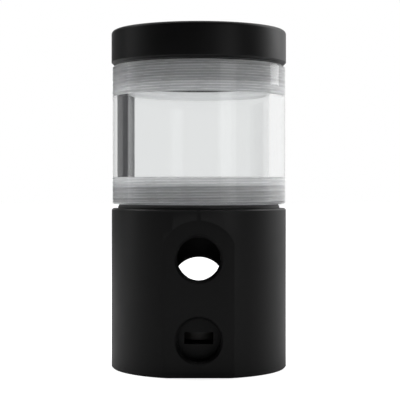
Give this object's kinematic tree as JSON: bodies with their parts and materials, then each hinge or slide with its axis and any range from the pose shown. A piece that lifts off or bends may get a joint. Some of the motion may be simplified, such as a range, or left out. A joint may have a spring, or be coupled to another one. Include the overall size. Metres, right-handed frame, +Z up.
{
  "type": "coolant pump reservoir",
  "caption": "Round coolant reservoir: clear screwed tube under a black lid, on a black pump base with two threaded ports on a milled flat and a larger rear port.",
  "frame": {"origin": "centre of the standing face of the base", "axes": "+Z up along the tank's axis, -Y out of the two front ports, +X to the right seen from the front"},
  "size_m": [0.0504, 0.0504, 0.0967],
  "materials": {
    "black_acetal": "turned and milled, satin",
    "clear_acrylic": "polished cast acrylic",
    "black_rubber": "moulded",
    "dark_ppe": "injection moulded",
    "natural_plastic": "injection moulded",
    "ground_steel": "ground",
    "bronze": "turned",
    "carbon_bush": "sintered",
    "stainless_steel": "bright",
    "ferrite": "sintered",
    "soft_iron": "sintered",
    "copper_wire": "enamelled",
    "board": "solder resist",
    "black_epoxy": "moulded"
  },
  "bodies": {
    "base": {"base_housing": "black_acetal", "base_oring": "black_rubber", "tube": "clear_acrylic", "motor_can": "dark_ppe", "motor_can_oring": "black_rubber", "shaft": "ground_steel", "thrust_washer": "bronze", "shaft_clip": "stainless_steel", "stator_yoke": "soft_iron", "coil_1": "copper_wire", "coil_2": "copper_wire", "coil_3": "copper_wire", "coil_4": "copper_wire", "coil_5": "copper_wire", "coil_6": "copper_wire", "circuit_board": "board", "driver_chip": "black_epoxy", "hall_sensor": "black_epoxy", "smoothing_capacitor": "black_epoxy", "bottom_cover": "black_acetal", "cover_screw_1": "stainless_steel", "cover_screw_2": "stainless_steel", "cover_screw_3": "stainless_steel", "cover_screw_4": "stainless_steel", "cable_grommet": "black_rubber"},
    "rotor": {"impeller": "natural_plastic", "ring_magnet": "ferrite", "impeller_bush": "carbon_bush"},
    "lid_seal": {"lid_oring": "black_rubber"},
    "lid": {"lid": "black_acetal"},
    "fill_seal": {"fill_plug_oring": "black_rubber"},
    "fill_plug": {"fill_plug": "black_acetal"}
  },
  "joints": [
    {"name": "impeller_spin", "type": "hinge", "parent": "base", "child": "rotor", "pos_m": [0, 0, 0.0118], "axis": [0, 0, 1], "continuous": true},
    {"name": "lid_lift", "type": "slide", "parent": "base", "child": "lid_seal", "axis": [0, 0, 1], "range_m": [0, 0.0075]},
    {"name": "lid_turn", "type": "hinge", "parent": "lid_seal", "child": "lid", "pos_m": [0, 0, 0.0915], "axis": [0, 0, 1], "range_deg": [0, 1800.01]},
    {"name": "plug_lift", "type": "slide", "parent": "lid", "child": "fill_seal", "axis": [0, 0, 1], "range_m": [0, 0.00802]},
    {"name": "plug_turn", "type": "hinge", "parent": "fill_seal", "child": "fill_plug", "pos_m": [0, 0, 0.0955], "axis": [0, 0, 1], "range_deg": [0, 2160]}
  ],
  "couplings": [
    {"joint": "lid_turn", "follows": "lid_lift", "rad_per_m": 4188.8},
    {"joint": "plug_turn", "follows": "plug_lift", "rad_per_m": 4699.5}
  ]
}
